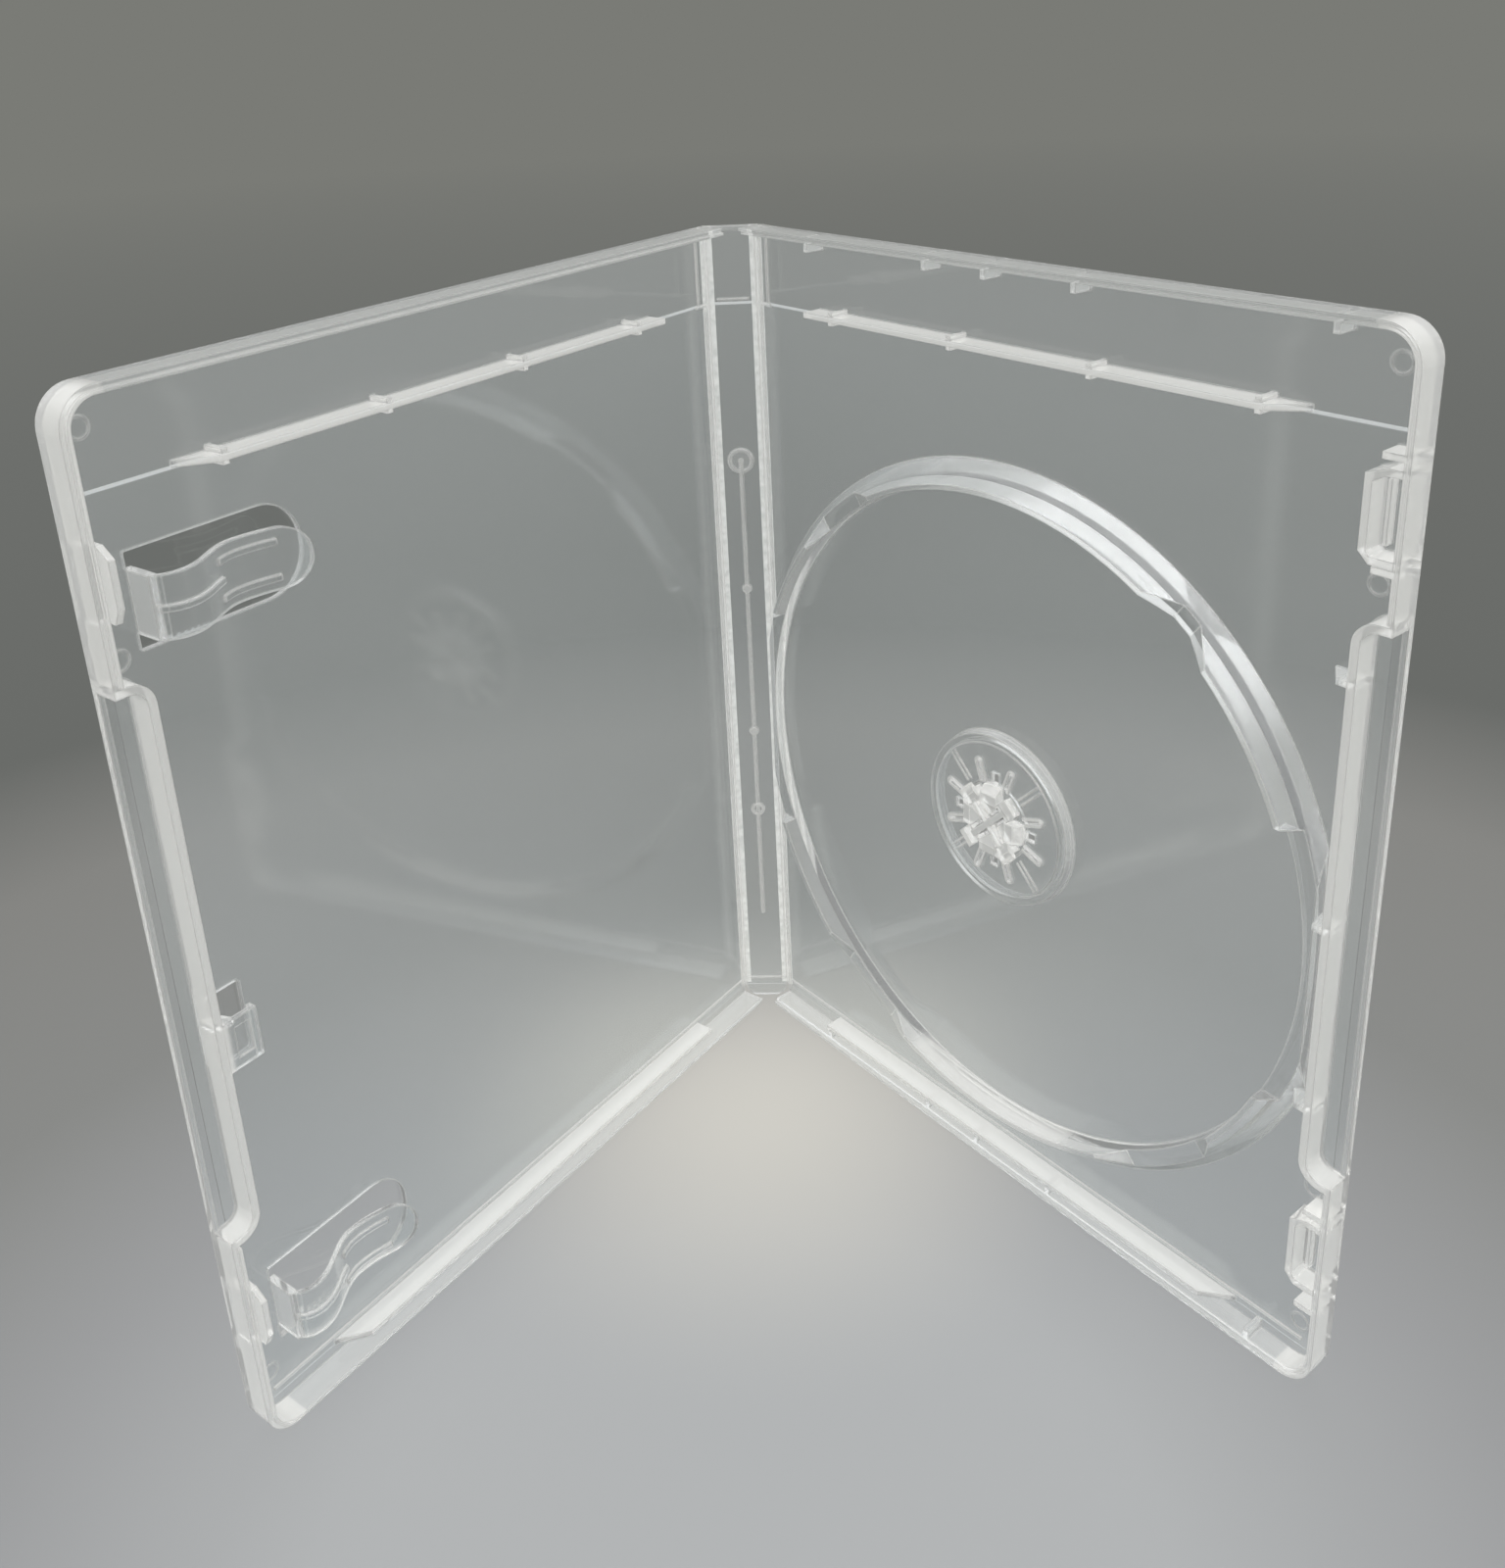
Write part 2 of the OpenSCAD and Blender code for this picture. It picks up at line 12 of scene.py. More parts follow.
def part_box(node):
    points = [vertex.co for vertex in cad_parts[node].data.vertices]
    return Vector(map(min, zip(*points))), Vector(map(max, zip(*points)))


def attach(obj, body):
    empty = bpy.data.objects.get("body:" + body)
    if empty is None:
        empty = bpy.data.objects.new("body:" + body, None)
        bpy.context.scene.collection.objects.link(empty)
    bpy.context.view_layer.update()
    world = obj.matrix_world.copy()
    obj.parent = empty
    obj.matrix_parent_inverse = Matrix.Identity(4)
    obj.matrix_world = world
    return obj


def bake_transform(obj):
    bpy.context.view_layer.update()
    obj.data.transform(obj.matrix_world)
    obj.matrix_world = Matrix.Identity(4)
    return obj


bl_info = {
    "name": "Clear disc case",
    "version": (1, 0, 0),
    "blender": (4, 5, 0),
    "location": "View3D > Sidebar > Disc case",
    "description": "Dresses a clear moulded disc case and sets up its studio",
    "category": "Object",
}

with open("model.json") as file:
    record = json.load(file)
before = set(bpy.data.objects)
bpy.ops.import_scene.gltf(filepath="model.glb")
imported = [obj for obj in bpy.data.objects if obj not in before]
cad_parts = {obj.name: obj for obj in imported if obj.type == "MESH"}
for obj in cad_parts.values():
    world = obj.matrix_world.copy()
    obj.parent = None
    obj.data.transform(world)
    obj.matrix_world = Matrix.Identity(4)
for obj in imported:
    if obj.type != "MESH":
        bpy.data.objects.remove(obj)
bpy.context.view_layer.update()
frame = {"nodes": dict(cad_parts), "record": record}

MM = 0.001
SPINE_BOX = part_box("spine")
CASE_HEIGHT = SPINE_BOX[1][2] - SPINE_BOX[0][2]
JOINTS = {joint["name"]: joint for joint in frame["record"]["behaviour"]["joints"]}
COVER_AXIS_X = JOINTS["cover_hinge"]["pos_m"][0]
TRAY_AXIS_X = JOINTS["tray_hinge"]["pos_m"][0]
# How far each half stands from flat open, which is the lower limit of its joint.
COVER_ANGLE = math.radians(-JOINTS["cover_hinge"]["range_deg"][0])
TRAY_ANGLE = math.radians(-JOINTS["tray_hinge"]["range_deg"][0])
HUB_CENTRE = (Vector(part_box("hub_button")[0]) + Vector(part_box("hub_button")[1])) / 2
FILM_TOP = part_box("sleeve_front")[1][2]

WALL = 0.9 * MM
# Where the thick sections begin: the header and foot, the top and bottom rims, and the free edge of a half.
BAND = 17 * MM
RIM = 3.4 * MM
FREE_EDGE = 126.4 * MM
HUB_RADIUS = 12.6 * MM
HUB_RISE = 2.75 * MM
MOULD_RADIUS = 0.42 * MM
FLOW_MARK = 28.57 * MM
# Heights between which the walls turn lighter upwards: painted light from above on a faint real haze.
TOP_LIGHT_LEVELS = (30 * MM, 160 * MM)
# Refractive index of polypropylene.
IOR = 1.49

# Living hinge: how far the middle of its web runs outside the axis, where its points lie to both sides of the bend
# (in mm from the axis), its lower end, how much shorter than the case it is, and its steps round the bend and upwards.
WEB_BEND = 0.36 * MM
WEB_LEADS = (1.4, 0.8, 0.4)
WEB_FOOT = 3.2 * MM
WEB_SHORTFALL = 3.4 * MM
WEB_STEPS = 8
WEB_ROWS = 12

# Braces beside the tray's thumb notch. Their solid stubs end at the half's width less the notch, the rim and the stub.
HALF_WIDTH, NOTCH_DEPTH, RIM_THICKNESS, STUB_LENGTH = 133.5, 4.3, 1.3, 1.6
GUSSET_ROOT = (HALF_WIDTH - NOTCH_DEPTH - RIM_THICKNESS - STUB_LENGTH) * MM
GUSSET_THICKNESS = 1.0 * MM
# Each tip's height above the floor, and its length in mm.
GUSSET_TIPS = ((51.01 * MM, 2.4), (82.51 * MM, 0.9), (121.48 * MM, 2.4))
# In mm: heights of a tip's foot, shoulder and crest above the middle of the tray's panel, and the crest's length.
GUSSET_FOOT, GUSSET_SHOULDER, GUSSET_CREST = 0.43, 1.0, 4.15
GUSSET_FLAT = 0.35

# Painted shade: the floor's colour darkens outwards from a point in front of the case, as the lamps' light falls off.
# Share of FLOOR_REACH and colour of each ring between the floor's own colour and the wall's.
FLOOR_HALF = 4.0
FLOOR_DROP = 0.1 * MM
FLOOR_CENTRE = (0, -0.13, 0)
FLOOR_REACH = 2.0
FLOOR_PAINTED_SHADE_RINGS = ((0.058, "939495"), (0.085, "7F807E"), (0.13, "7A7A77"), (0.17, "6A6C69"), (0.35, "6D6F6C"))
FLOOR_START = 0.03
FAR_RINGS = (0.13, 0.17)
# Painted pool of light on the floor between the halves: its centre, radius and share.
GLOW_CENTRE = (0, -0.036, 0)
GLOW_RADIUS = 75 * MM
GLOW_SHARE = 0.75
# Height of a direction in the room, from 0 at the horizon, over which the grey wall turns to the white ceiling.
CEILING_RISE = (0.2, 0.55)

LAMP_TARGET = Vector((0, -0.06, 0.08))
CEILING_PLACE, CEILING_SIZE = (0.05, -0.1, 0.9), 0.9
FILL_PLACES = {"fill_left": (-0.75, -0.6, 0.3), "fill_right": (0.8, -0.5, 0.3), "fill_back": (0.1, 0.8, 0.35)}
FILL_SIZE = 0.5

CAMERA_PLACE = Vector((17.97, -286.44, 213.47)) * MM
CAMERA_TURN = (20.574, 3.326, -1.581)
CAMERA_LENS = 36.40
CAMERA_SHIFT = (0.0039, -0.1527)


def linear(hex_colour):
    """An sRGB hex value such as 9A9B98 as linear RGBA."""
    values = [int(hex_colour[i : i + 2], 16) / 255 for i in (0, 2, 4)]
    return [v / 12.92 if v <= 0.04045 else ((v + 0.055) / 1.055) ** 2.4 for v in values] + [1.0]


class StudioSettings(bpy.types.PropertyGroup):
    floor_colour: FloatVectorProperty(
        name="Floor colour",
        description="Painted floor near the case",
        default=linear("A9ABAC"),
        subtype="COLOR",
        size=4,
        min=0.0,
        max=1.0,
    )
    wall_colour: FloatVectorProperty(
        name="Wall colour",
        description="Wall behind the case",
        default=linear("7A7B76"),
        subtype="COLOR",
        size=4,
        min=0.0,
        max=1.0,
    )
    # Colour of the painted pool of light on the floor between the halves.
    glow_colour: FloatVectorProperty(
        name="Glow colour",
        description="Light that the case throws on the floor between its halves",
        default=linear("D2CFC6"),
        subtype="COLOR",
        size=4,
        min=0.0,
        max=1.0,
    )
    world_strength: FloatProperty(
        name="Room light", description="Strength of the even room light", default=0.8, min=0.0
    )
    ceiling_power: FloatProperty(
        name="Ceiling lamp", description="Power of the soft ceiling lamp", default=1.0, min=0.0, unit="POWER"
    )
    fill_power: FloatProperty(
        name="Fill lamps",
        description="Power of each of the three soft lamps round the case",
        default=2.4,
        min=0.0,
        unit="POWER",
    )


class PlasticSettings(bpy.types.PropertyGroup):
    clear_colour: FloatVectorProperty(
        name="Clear wall tint",
        description="Tint of the thin clear walls",
        default=linear("F2F5F5"),
        subtype="COLOR",
        size=4,
        min=0.0,
        max=1.0,
    )
    milk_colour: FloatVectorProperty(
        name="Thick section tint",
        description="Tint of ribs, rims and edges",
        default=linear("FBFBF8"),
        subtype="COLOR",
        size=4,
        min=0.0,
        max=1.0,
    )
    # Milkiness of a wall near its top, where it holds painted light from above; at the foot it falls to 0.35 of this.
    wall_milk_and_top_light: FloatProperty(
        name="Milkiness",
        description="Share of light that a clear wall scatters near its top",
        default=0.13,
        min=0.0,
        max=1.0,
        subtype="FACTOR",
    )
    web_thickness: FloatProperty(
        name="Hinge web", description="Thickness of the living hinge", default=0.3 * MM, unit="LENGTH"
    )


def add_node(tree, kind, settings=None, links=None, **values):
    """Adds a node, with its properties, its links, and its socket values by name or as i and a socket's number."""
    node = tree.nodes.new(kind)
    for name, value in (settings or {}).items():
        setattr(node, name, value)
    for name, value in values.items():
        numbered = name[0] == "i" and name[1:].isdigit()
        node.inputs[int(name[1:]) if numbered else name.replace("_", " ")].default_value = value
    for name, source in (links or {}).items():
        tree.links.new(source, node.inputs[name])
    return node


def new_material(name):
    """An empty material with nodes."""
    material = bpy.data.materials.new(name)
    material.use_nodes = True
    material.node_tree.nodes.clear()
    return material


def let_lamps_through(tree, shader, tint):
    """Ends a clear plastic: shadow rays pass it unbent and slightly dimmed, so that it casts a faint shadow."""
    ghost = add_node(tree, "ShaderNodeBsdfTransparent", None, None, Color=linear(tint))
    path = add_node(tree, "ShaderNodeLightPath")
    parts = {0: path.outputs["Is Shadow Ray"], 1: shader.outputs[0], 2: ghost.outputs[0]}
    mixed = add_node(tree, "ShaderNodeMixShader", None, parts)
    add_node(tree, "ShaderNodeOutputMaterial", None, {"Surface": mixed.outputs[0]})


def leaf_frame(side):
    """Origin of an open half and its directions: along it, up, and into the case. Side is -1 for cover, 1 for tray."""
    angle = TRAY_ANGLE if side > 0 else COVER_ANGLE
    origin = Vector((TRAY_AXIS_X if side > 0 else COVER_AXIS_X, 0, 0))
    along = Vector((side * math.cos(angle), -math.sin(angle), 0))
    inward = Vector((-side * math.sin(angle), -math.cos(angle), 0))
    return origin, along, Vector((0, 0, 1)), inward


def polypropylene(name, side, settings):
    """Clear polypropylene, injection moulded, of one half (side -1 or 1) or of the spine (side 0).

    Thin walls are clear and glossy, and painted a little lighter towards the top as painted light from above. The
    thick rims hold more of the faintly milky plastic, so they are whiter. The mould's small edge radii are painted
    white: partly the milky plastic, partly a painted highlight where the edges catch the light.
    """
    material = new_material(name)
    tree = material.node_tree

    def maths(operation, first, second, clamp=False):
        """Two numbers, each a socket or a value, through one Math node."""
        links = {i: v for i, v in enumerate((first, second)) if not isinstance(v, float)}
        node = add_node(tree, "ShaderNodeMath", {"operation": operation, "use_clamp": clamp}, links)
        for i, v in enumerate((first, second)):
            if isinstance(v, float):
                node.inputs[i].default_value = v
        return node.outputs[0]

    def between(value, low, high):
        """A share that runs from 0 at low to 1 at high."""
        return add_node(tree, "ShaderNodeMapRange", None, {"Value": value}, i1=low, i2=high, i3=0.0, i4=1.0).outputs[0]

    def vector_maths(operation, links, output, **values):
        """One output of a Vector Math node."""
        return add_node(tree, "ShaderNodeVectorMath", {"operation": operation}, links, **values).outputs[output]

    coordinates = add_node(tree, "ShaderNodeTexCoord")
    if side:
        origin, along, up, inward = leaf_frame(side)
    else:
        origin, along, inward = Vector((0, 0, 0)), Vector((1, 0, 0)), Vector((0, -1, 0))
    place = coordinates.outputs["Object"]
    moved = vector_maths("SUBTRACT", {0: place}, "Vector", i1=origin)
    height = vector_maths("DOT_PRODUCT", {0: moved}, "Value", i1=inward)
    reach = vector_maths("DOT_PRODUCT", {0: moved}, "Value", i1=along)
    level = add_node(tree, "ShaderNodeSeparateXYZ", None, {0: place}).outputs["Z"]
    facing = vector_maths("DOT_PRODUCT", {0: coordinates.outputs["Normal"]}, "Value", i1=inward)
    turned = maths("ABSOLUTE", facing, 0.0)
    upright = between(turned, 0.45, 0.15)
    raised = between(height, WALL * 0.6, WALL * 1.2)
    # Rims, ribs and latches lie along the border, where the sections are thick.
    away = maths("ABSOLUTE", maths("SUBTRACT", level, CASE_HEIGHT / 2), 0.0)
    at_ends = between(away, CASE_HEIGHT / 2 - BAND, CASE_HEIGHT / 2 - BAND + 2 * MM)
    at_edge = between(reach, FREE_EDGE, FREE_EDGE + 0.8 * MM)
    # The top and bottom rims are thinner than the latches and ribs beside them, so they stay clearer.
    on_rim = between(away, CASE_HEIGHT / 2 - RIM, CASE_HEIGHT / 2 - RIM + 0.4 * MM)
    at_ends = maths("SUBTRACT", at_ends, maths("MULTIPLY", on_rim, 0.6))
    border = maths("MAXIMUM", at_ends, at_edge)
    thick = maths("MULTIPLY", maths("MAXIMUM", upright, raised), border)
    thick = maths("MAXIMUM", thick, maths("MULTIPLY", upright, 0.45))
    if side > 0:
        # The crest of the disc well's ridge and the raised work in the hub.
        crest = maths("MULTIPLY", between(turned, 0.93, 0.98), between(height, WALL * 3, WALL * 4))
        from_hub = vector_maths("DISTANCE", {0: place}, "Value", i1=HUB_CENTRE)
        in_hub = between(from_hub, HUB_RADIUS, HUB_RADIUS - 0.4 * MM)
        hub = maths("MULTIPLY", in_hub, between(height, HUB_RISE, HUB_RISE + 0.1 * MM))
        thick = maths("MAXIMUM", thick, maths("MAXIMUM", maths("MULTIPLY", crest, 0.3), hub))
    if side == 0:
        thick = maths("MAXIMUM", thick, raised)
    # Small radii of the mould, drawn a little wide so that they show. They are painted white: partly milky plastic,
    # partly a painted highlight along the edges.
    rounded = add_node(tree, "ShaderNodeBevel", {"samples": 2}, None, Radius=MOULD_RADIUS).outputs[0]
    geometry = add_node(tree, "ShaderNodeNewGeometry")
    same = vector_maths("DOT_PRODUCT", {0: rounded, 1: geometry.outputs["Normal"]}, "Value")
    seam_milk_and_highlight = between(same, 0.975, 0.92)
    # Flow marks of the moulding: slow waves about 3 cm apart, which make the reflections waver.
    waves = add_node(tree, "ShaderNodeTexNoise", None, {"Vector": place}, Scale=1 / FLOW_MARK, Detail=0.0)
    surface = {"Height": waves.outputs["Fac"], "Normal": rounded}
    bump = add_node(tree, "ShaderNodeBump", None, surface, Strength=0.15, Distance=0.6 * MM)
    # The tint whitens on thick sections and on the edge radii, where it is partly a painted highlight.
    milk_and_highlight = maths("MAXIMUM", thick, seam_milk_and_highlight)
    tint = add_node(tree, "ShaderNodeMix", {"data_type": "RGBA"}, {"Factor": milk_and_highlight})
    tint.inputs["A"].default_value = settings.clear_colour
    tint.inputs["B"].default_value = settings.milk_colour
    # The walls are painted lighter towards the top: a faint real haze, raised upwards as painted light from above.
    low, high = settings.wall_milk_and_top_light * 0.35, settings.wall_milk_and_top_light
    foot, head = TOP_LIGHT_LEVELS
    haze_and_top_light = add_node(tree, "ShaderNodeMapRange", None, {"Value": level}, i1=foot, i2=head, i3=low, i4=high).outputs[0]
    # Milkiness of thick sections and the painted highlight of the edge radii take from the clear share.
    edges = maths("ADD", maths("MULTIPLY", thick, 0.32), maths("MULTIPLY", seam_milk_and_highlight, 0.85))
    clear = maths("SUBTRACT", 1.0, maths("ADD", haze_and_top_light, edges), True)
    shader = add_node(
        tree,
        "ShaderNodeBsdfPrincipled",
        None,
        {"Base Color": tint.outputs["Result"], "Transmission Weight": clear, "Normal": bump.outputs["Normal"]},
        Roughness=0.06,
        IOR=IOR,
    )
    let_lamps_through(tree, shader, "F8F8F8")
    return material


def bent_web(name, settings):
    """Clear polypropylene, moulded thin and bent. Bending has whitened it, so it is a bright line beside the spine."""
    material = new_material(name)
    tree = material.node_tree
    coordinates = add_node(tree, "ShaderNodeTexCoord")
    place = {"Vector": coordinates.outputs["Object"]}
    # Whitened grains in the fold, about 1.5 mm across: coarser than real ones, so that they show.
    grains = add_node(tree, "ShaderNodeTexNoise", None, place, Scale=1 / (1.5 * MM), Detail=1.0)
    share = {"Value": grains.outputs["Fac"]}
    clear = add_node(tree, "ShaderNodeMapRange", None, share, i1=0.3, i2=0.7, i3=0.2, i4=0.5)
    shader = add_node(
        tree,
        "ShaderNodeBsdfPrincipled",
        None,
        {"Transmission Weight": clear.outputs[0]},
        Base_Color=settings.milk_colour,
        Roughness=0.2,
        IOR=IOR,
    )
    let_lamps_through(tree, shader, "F8F8F8")
    return material


def sleeve_film(name):
    """Clear polypropylene film, cast and heat sealed. It is thin, smooth and glossy, and nearly colourless."""
    material = new_material(name)
    tree = material.node_tree
    coordinates = add_node(tree, "ShaderNodeTexCoord")
    # The welded top edge is a faint white line, drawn 0.5 mm high so that it shows.
    level = add_node(tree, "ShaderNodeSeparateXYZ", None, {0: coordinates.outputs["Object"]}).outputs["Z"]
    low, high = FILM_TOP - 0.6 * MM, FILM_TOP - 0.4 * MM
    clear = add_node(tree, "ShaderNodeMapRange", None, {"Value": level}, i1=low, i2=high, i3=1.0, i4=0.4)
    shader = add_node(
        tree,
        "ShaderNodeBsdfPrincipled",
        None,
        {"Transmission Weight": clear.outputs[0]},
        Base_Color=linear("FAFBFB"),
        Roughness=0.0,
        IOR=IOR,
    )
    let_lamps_through(tree, shader, "FEFEFE")
    return material


def dress(node, material):
    """Puts one material on every slot of a CAD node."""
    thing = frame["nodes"][node]
    if not thing.material_slots:
        thing.data.materials.append(material)
    for slot in thing.material_slots:
        slot.link = "OBJECT"
        slot.material = material
    # Light that the floor and the walls give back passes the clear plastic.
    thing.visible_diffuse = False
    return thing


def mesh_object(name, vertices, faces, material, smooth=True):
    """An object from points and faces, in the scene and with its material."""
    mesh = bpy.data.meshes.new(name)
    mesh.from_pydata([tuple(v) for v in vertices], [], faces)
    mesh.validate()
    for face in mesh.polygons:
        face.use_smooth = smooth
    thing = bpy.data.objects.new(name, mesh)
    bpy.context.scene.collection.objects.link(thing)
    thing.data.materials.append(material)
    return thing


def face_outwards(thing):
    """Turns the faces of a closed mesh outwards."""
    mesh = bmesh.new()
    mesh.from_mesh(thing.data)
    bmesh.ops.recalc_face_normals(mesh, faces=mesh.faces)
    mesh.to_mesh(thing.data)
    mesh.free()


def hinge_web(body, side, settings, material):
    """A thin strip that leaves the spine, bends round the hinge axis on the outside and enters the half."""
    origin, along, up, inward = leaf_frame(side)
    outward, spine_out, spine_way = -inward, Vector((0, 1, 0)), Vector((-side, 0, 0))
    start = math.atan2(spine_out.y, spine_out.x)
    end = math.atan2(outward.y, outward.x)
    # Points down the middle of the strip, each with the direction that its thickness takes.
    middle = [(origin + spine_way * lead * MM + spine_out * WEB_BEND, spine_out) for lead in WEB_LEADS]
    for k in range(WEB_STEPS + 1):
        angle = start + (end - start) * k / WEB_STEPS
        direction = Vector((math.cos(angle), math.sin(angle), 0))
        middle.append((origin + direction * WEB_BEND, direction))
    middle += [(origin + along * lead * MM + outward * WEB_BEND, outward) for lead in reversed(WEB_LEADS)]
    half = settings.web_thickness / 2
    rows = [WEB_FOOT + (CASE_HEIGHT - WEB_SHORTFALL) * k / WEB_ROWS for k in range(WEB_ROWS + 1)]
    vertices, faces = [], []
    wide = len(middle)
    for z in rows:
        for sign in (-1, 1):
            vertices += [point + direction * half * sign + up * z for point, direction in middle]
    for r in range(len(rows) - 1):
        low, high = r * 2 * wide, (r + 1) * 2 * wide
        for i in range(wide - 1):
            faces.append((low + i, low + i + 1, high + i + 1, high + i))
            faces.append((low + wide + i + 1, low + wide + i, high + wide + i, high + wide + i + 1))
        faces.append((low + wide, low, high, high + wide))
        faces.append((low + wide - 1, low + 2 * wide - 1, high + 2 * wide - 1, high + wide - 1))
    last = (len(rows) - 1) * 2 * wide
    for i in range(wide - 1):
        faces.append((i + 1, i, wide + i, wide + i + 1))
        faces.append((last + i, last + i + 1, last + wide + i + 1, last + wide + i))
    web = mesh_object(f"hinge_web_{body}", vertices, faces, material)
    face_outwards(web)
    web.data.set_sharp_from_angle(angle=math.radians(40))
    web.visible_diffuse = False
    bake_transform(web)


def notch_gussets(material):
    """Sloping tips of the three small plates that brace the tray's wall beside the thumb notch."""
    origin, along, up, inward = leaf_frame(1)
    vertices, faces = [], []
    for level, length in GUSSET_TIPS:
        start = len(vertices)
        profile = (
            (0.0, GUSSET_FOOT),
            (0.0, GUSSET_CREST),
            (-GUSSET_FLAT, GUSSET_CREST),
            (-length, GUSSET_SHOULDER),
            (-length, GUSSET_FOOT),
        )
        for rise in (level, level + GUSSET_THICKNESS):
            for reach, height in profile:
                root = origin + along * (GUSSET_ROOT + reach * MM)
                vertices.append(root + inward * height * MM + up * rise)
        count = len(profile)
        faces.append(tuple(start + i for i in range(count)))
        faces.append(tuple(start + 2 * count - 1 - i for i in range(count)))
        for i in range(count):
            j = (i + 1) % count
            faces.append((start + j, start + i, start + count + i, start + count + j))
    tips = mesh_object("notch_gusset_tips", vertices, faces, material, False)
    face_outwards(tips)
    tips.visible_diffuse = False
    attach(tips, "disc_tray")


class DISCCASE_OT_moulding(bpy.types.Operator):
    """Gives the spine, both halves and the hub button their clear moulded plastic, and adds the gusset tips"""

    bl_idname = "disccase.moulding"
    bl_label = "Clear moulding"

    def execute(self, context):
        settings = context.scene.disccase_plastic
        dress("spine", polypropylene("clear_polypropylene_moulded_spine", 0, settings))
        dress("front_cover", polypropylene("clear_polypropylene_moulded_cover", -1, settings))
        tray = polypropylene("clear_polypropylene_moulded_tray", 1, settings)
        dress("disc_tray", tray)
        dress("hub_button", tray)
        notch_gussets(tray)
        return {"FINISHED"}


class DISCCASE_OT_sleeve(bpy.types.Operator):
    """Gives the film sleeve its thin glossy film"""

    bl_idname = "disccase.sleeve"
    bl_label = "Film sleeve"

    def execute(self, context):
        film = sleeve_film("clear_polypropylene_cast_film")
        for node in ("sleeve_front", "sleeve_spine", "sleeve_rear"):
            dress(node, film).visible_shadow = False
        return {"FINISHED"}


class DISCCASE_OT_hinges(bpy.types.Operator):
    """Adds the thin bending web of each living hinge, from the spine to a half"""

    bl_idname = "disccase.hinges"
    bl_label = "Living hinges"

    def execute(self, context):
        settings = context.scene.disccase_plastic
        material = bent_web("clear_polypropylene_bent_web", settings)
        for body, side in (("front_cover", -1), ("disc_tray", 1)):
            hinge_web(body, side, settings, material)
        return {"FINISHED"}


def distance_from(tree, centre):
    """Distance of the shaded point from a place on the floor."""
    coordinates = add_node(tree, "ShaderNodeTexCoord")
    place = {0: coordinates.outputs["Object"]}
    moved = add_node(tree, "ShaderNodeVectorMath", {"operation": "SUBTRACT"}, place, i1=centre)
    return add_node(tree, "ShaderNodeVectorMath", {"operation": "LENGTH"}, {0: moved.outputs[0]}).outputs["Value"]


def seen_directly(tree):
    """1 for rays from the camera, also those that have passed clear plastic, and the Light Path node."""
    path = add_node(tree, "ShaderNodeLightPath")
    rays = {0: path.outputs["Is Camera Ray"], 1: path.outputs["Is Transmission Ray"]}
    return add_node(tree, "ShaderNodeMath", {"operation": "MAXIMUM"}, rays).outputs[0], path


def floor_with_painted_light(settings):
    """Painted board, rolled on: matt. Its colour holds painted light: light round the case and darker outwards, as
    the lamps leave it, and a painted pool of light between the halves.
    """
    material = new_material("painted_board_floor_and_painted_light")
    tree = material.node_tree
    distance = {"Value": distance_from(tree, FLOOR_CENTRE)}
    share = add_node(tree, "ShaderNodeMapRange", None, distance, i1=0.0, i2=FLOOR_REACH, i3=0.0, i4=1.0).outputs[0]
    # Painted shade: the floor's colour darkens outwards in rings, as the lamps' light falls off.
    painted_falloff = add_node(tree, "ShaderNodeValToRGB", None, {"Fac": share})
    rings = [(FLOOR_START, settings.floor_colour)]
    rings += [(place, linear(colour)) for place, colour in FLOOR_PAINTED_SHADE_RINGS]
    rings.append((1.0, settings.wall_colour))
    for index, (place, colour) in enumerate(rings):
        stop = painted_falloff.color_ramp.elements[index] if index < 2 else painted_falloff.color_ramp.elements.new(place)
        stop.position = place
        stop.color = colour
    # Painted pool of light: the floor's colour is lighter between the halves, where the case gathers light.
    glow = add_node(
        tree,
        "ShaderNodeMapRange",
        {"interpolation_type": "SMOOTHSTEP"},
        {"Value": distance_from(tree, GLOW_CENTRE)},
        i1=0.0,
        i2=GLOW_RADIUS,
        i3=GLOW_SHARE,
        i4=0.0,
    )
    colour = add_node(
        tree, "ShaderNodeMix", {"data_type": "RGBA"}, {"Factor": glow.outputs[0], "A": painted_falloff.outputs[0]}
    )
    colour.inputs["B"].default_value = settings.glow_colour
    base = {"Base Color": colour.outputs["Result"]}
    shader = add_node(tree, "ShaderNodeBsdfPrincipled", None, base, Roughness=0.6, IOR=1.3)
    # Far away, rays from the camera see the floor glow unlit in its painted colour, so that it meets the room without
    # a line.
    near, beyond = FAR_RINGS
    far = add_node(tree, "ShaderNodeMapRange", None, {"Value": share}, i1=near, i2=beyond, i3=0.0, i4=1.0)
    seen, _ = seen_directly(tree)
    amount = add_node(tree, "ShaderNodeMath", {"operation": "MULTIPLY"}, {0: far.outputs[0], 1: seen})
    flat = add_node(tree, "ShaderNodeEmission", None, {"Color": painted_falloff.outputs[0]}, Strength=1.0)
    parts = {0: amount.outputs[0], 1: shader.outputs[0], 2: flat.outputs[0]}
    mixed = add_node(tree, "ShaderNodeMixShader", None, parts)
    add_node(tree, "ShaderNodeOutputMaterial", None, {"Surface": mixed.outputs[0]})
    return material


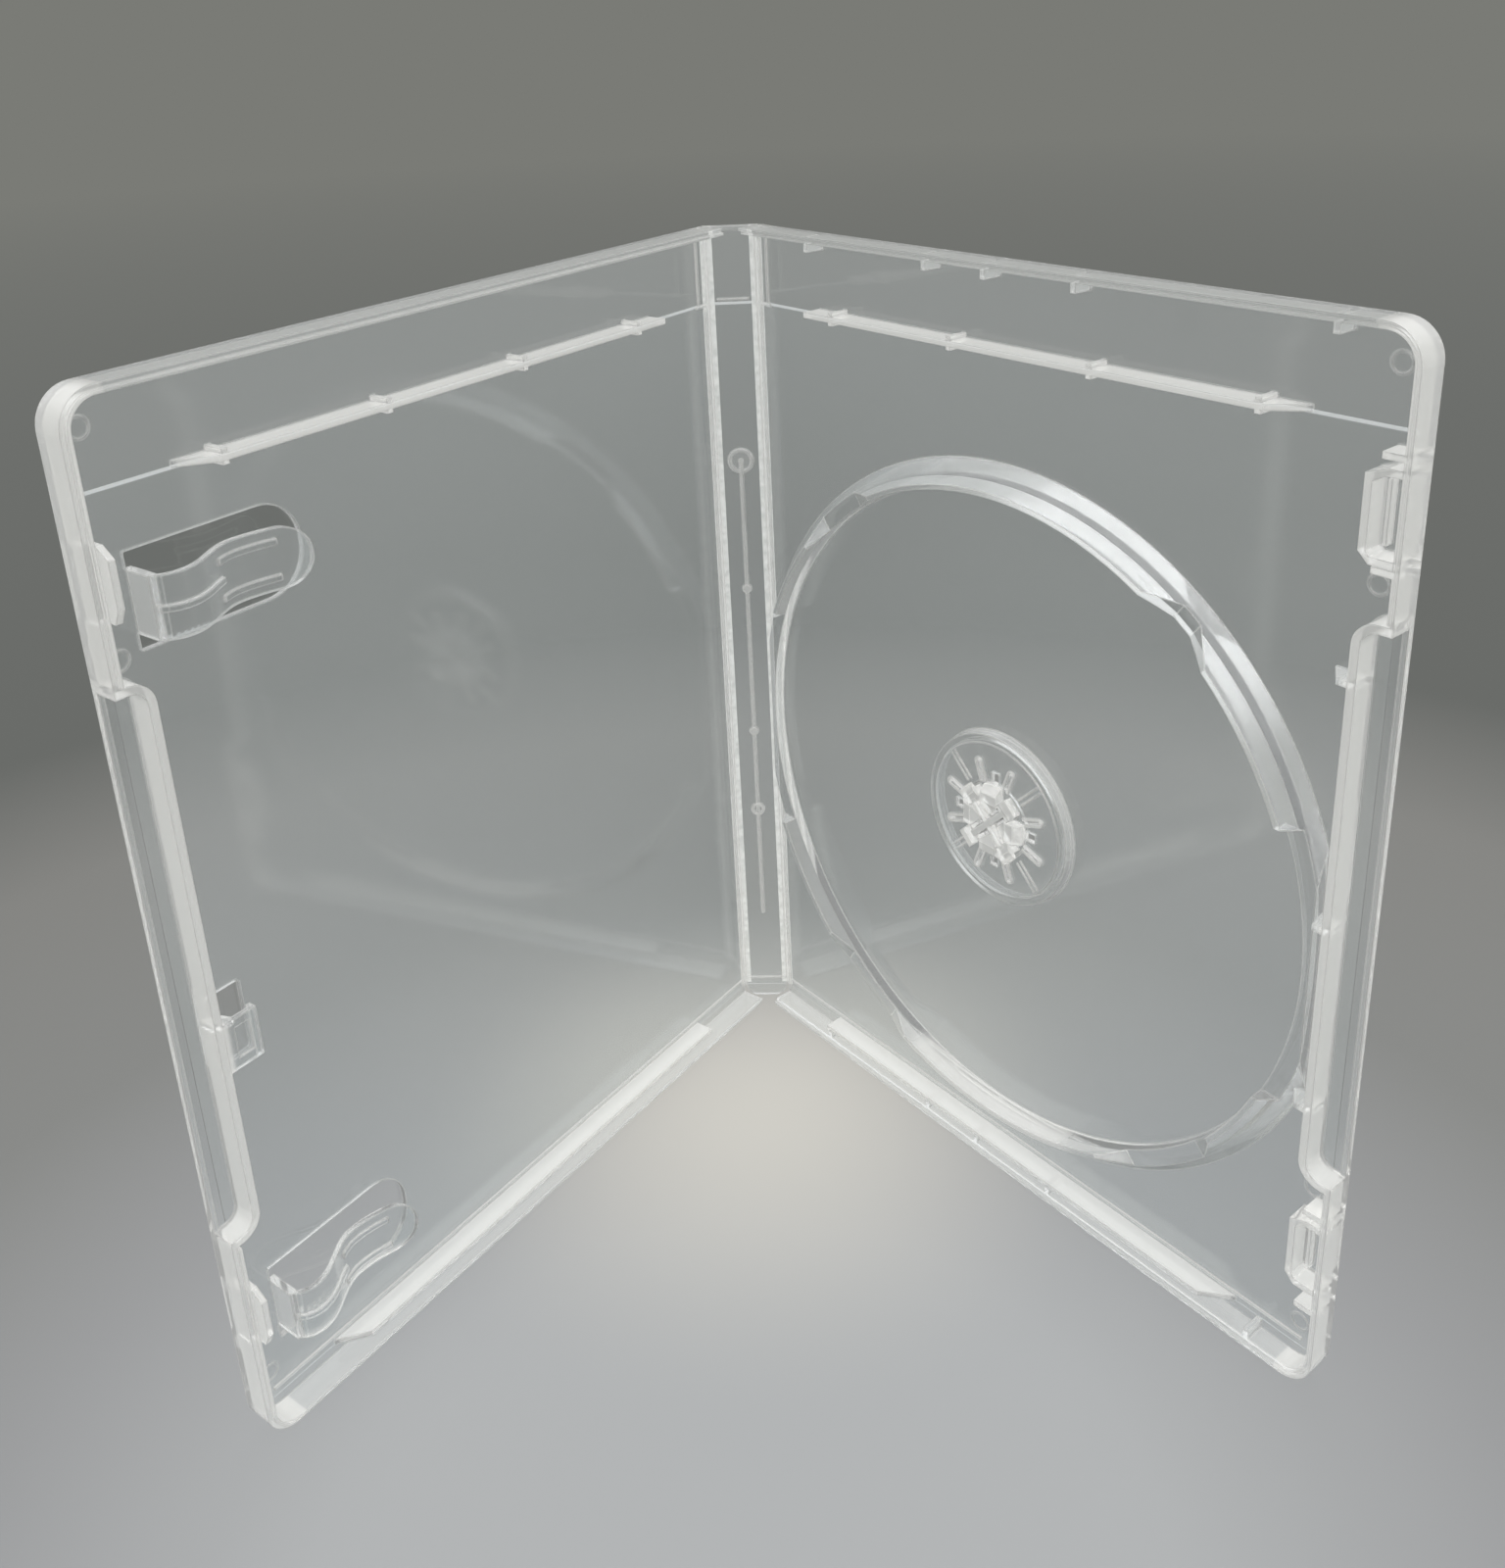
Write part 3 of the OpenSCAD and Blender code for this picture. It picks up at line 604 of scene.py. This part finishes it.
def room(scene, settings):
    """The room that the plastic shows, a grey wall below a white ceiling, and even white light for all else."""
    world = bpy.data.worlds.new("room")
    world.use_nodes = True
    scene.world = world
    tree = world.node_tree
    tree.nodes.clear()
    seen, path = seen_directly(tree)
    rays = {0: seen, 1: path.outputs["Is Glossy Ray"]}
    shown = add_node(tree, "ShaderNodeMath", {"operation": "MAXIMUM"}, rays)
    white = (1, 1, 1, 1)
    lit = add_node(tree, "ShaderNodeBackground", None, None, Color=white, Strength=settings.world_strength)
    direction = add_node(tree, "ShaderNodeTexCoord")
    rise = add_node(tree, "ShaderNodeSeparateXYZ", None, {0: direction.outputs["Generated"]})
    ceiling = add_node(
        tree,
        "ShaderNodeMapRange",
        {"interpolation_type": "SMOOTHSTEP"},
        {"Value": rise.outputs["Z"]},
        i1=CEILING_RISE[0],
        i2=CEILING_RISE[1],
        i3=0.0,
        i4=1.0,
    )
    colour = add_node(tree, "ShaderNodeMix", {"data_type": "RGBA"}, {"Factor": ceiling.outputs[0]})
    colour.inputs["A"].default_value = settings.wall_colour
    colour.inputs["B"].default_value = white
    plain = add_node(tree, "ShaderNodeBackground", None, {"Color": colour.outputs["Result"]}, Strength=1.0)
    parts = {0: shown.outputs[0], 1: lit.outputs[0], 2: plain.outputs[0]}
    mixed = add_node(tree, "ShaderNodeMixShader", None, parts)
    add_node(tree, "ShaderNodeOutputWorld", None, {"Surface": mixed.outputs[0]})


def soft_lamp(scene, name, place, size, power):
    """A square soft lamp that points at the case. The plastic doesn't show it through its walls."""
    lamp = bpy.data.lights.new(name, "AREA")
    lamp.shape = "SQUARE"
    lamp.size = size
    lamp.energy = power
    thing = bpy.data.objects.new(name, lamp)
    thing.location = place
    thing.rotation_euler = (Vector(place) - LAMP_TARGET).to_track_quat("Z", "Y").to_euler()
    thing.visible_transmission = False
    scene.collection.objects.link(thing)
    return thing


def camera(scene):
    """The camera, as fitted to the corners and edges of the real case."""
    lens = bpy.data.cameras.new("camera")
    lens.sensor_fit = "HORIZONTAL"
    lens.sensor_width = 36
    lens.lens = CAMERA_LENS
    lens.shift_x, lens.shift_y = CAMERA_SHIFT
    lens.clip_start = 0.01
    lens.clip_end = 100
    thing = bpy.data.objects.new("camera", lens)
    scene.collection.objects.link(thing)
    pitch, yaw, roll = (math.radians(angle) for angle in CAMERA_TURN)
    level = Matrix(((1, 0, 0), (0, 0, -1), (0, 1, 0)))
    turned = Matrix.Rotation(yaw, 3, "Y") @ Matrix.Rotation(pitch, 3, "X") @ level
    looking = Matrix.Rotation(roll, 3, "Z") @ turned
    axes = Matrix((looking[0], -looking[1], -looking[2])).transposed()
    thing.matrix_world = Matrix.Translation(CAMERA_PLACE) @ axes.to_4x4()
    scene.camera = thing


class DISCCASE_OT_studio(bpy.types.Operator):
    """Builds the floor, the lights, the room and the camera"""

    bl_idname = "disccase.studio"
    bl_label = "Studio"

    def execute(self, context):
        scene, settings = context.scene, context.scene.disccase_studio
        corners = [(x * FLOOR_HALF, y * FLOOR_HALF, 0) for x, y in ((-1, -1), (1, -1), (1, 1), (-1, 1))]
        floor = mesh_object("floor", corners, [(0, 1, 2, 3)], floor_with_painted_light(settings), False)
        floor.location.z = -FLOOR_DROP
        room(scene, settings)
        soft_lamp(scene, "ceiling", CEILING_PLACE, CEILING_SIZE, settings.ceiling_power)
        for name, place in FILL_PLACES.items():
            lamp = soft_lamp(scene, name, place, FILL_SIZE, settings.fill_power)
            # The lamp behind the case would whiten the top rims if they mirrored it.
            lamp.visible_glossy = name != "fill_back"
        camera(scene)
        scene.view_settings.view_transform = "Standard"
        return {"FINISHED"}


class DISCCASE_PT_panel(bpy.types.Panel):
    """Sizes and colours of the disc case and its studio"""

    bl_idname = "DISCCASE_PT_panel"
    bl_label = "Disc case"
    bl_space_type = "VIEW_3D"
    bl_region_type = "UI"
    bl_category = "Disc case"

    def draw(self, context):
        for settings in (context.scene.disccase_plastic, context.scene.disccase_studio):
            for name in settings.__annotations__:
                self.layout.prop(settings, name)
        for operator in OPERATORS:
            self.layout.operator(operator.bl_idname)


OPERATORS = (DISCCASE_OT_moulding, DISCCASE_OT_sleeve, DISCCASE_OT_hinges, DISCCASE_OT_studio)
CLASSES = (StudioSettings, PlasticSettings, *OPERATORS, DISCCASE_PT_panel)


def register():
    for cls in CLASSES:
        bpy.utils.register_class(cls)
    bpy.types.Scene.disccase_studio = PointerProperty(type=StudioSettings)
    bpy.types.Scene.disccase_plastic = PointerProperty(type=PlasticSettings)


def unregister():
    del bpy.types.Scene.disccase_plastic
    del bpy.types.Scene.disccase_studio
    for cls in reversed(CLASSES):
        bpy.utils.unregister_class(cls)


def main():
    register()
    bpy.ops.disccase.moulding()
    bpy.ops.disccase.sleeve()
    bpy.ops.disccase.hinges()
    bpy.ops.disccase.studio()


if __name__ == "__main__":
    main()
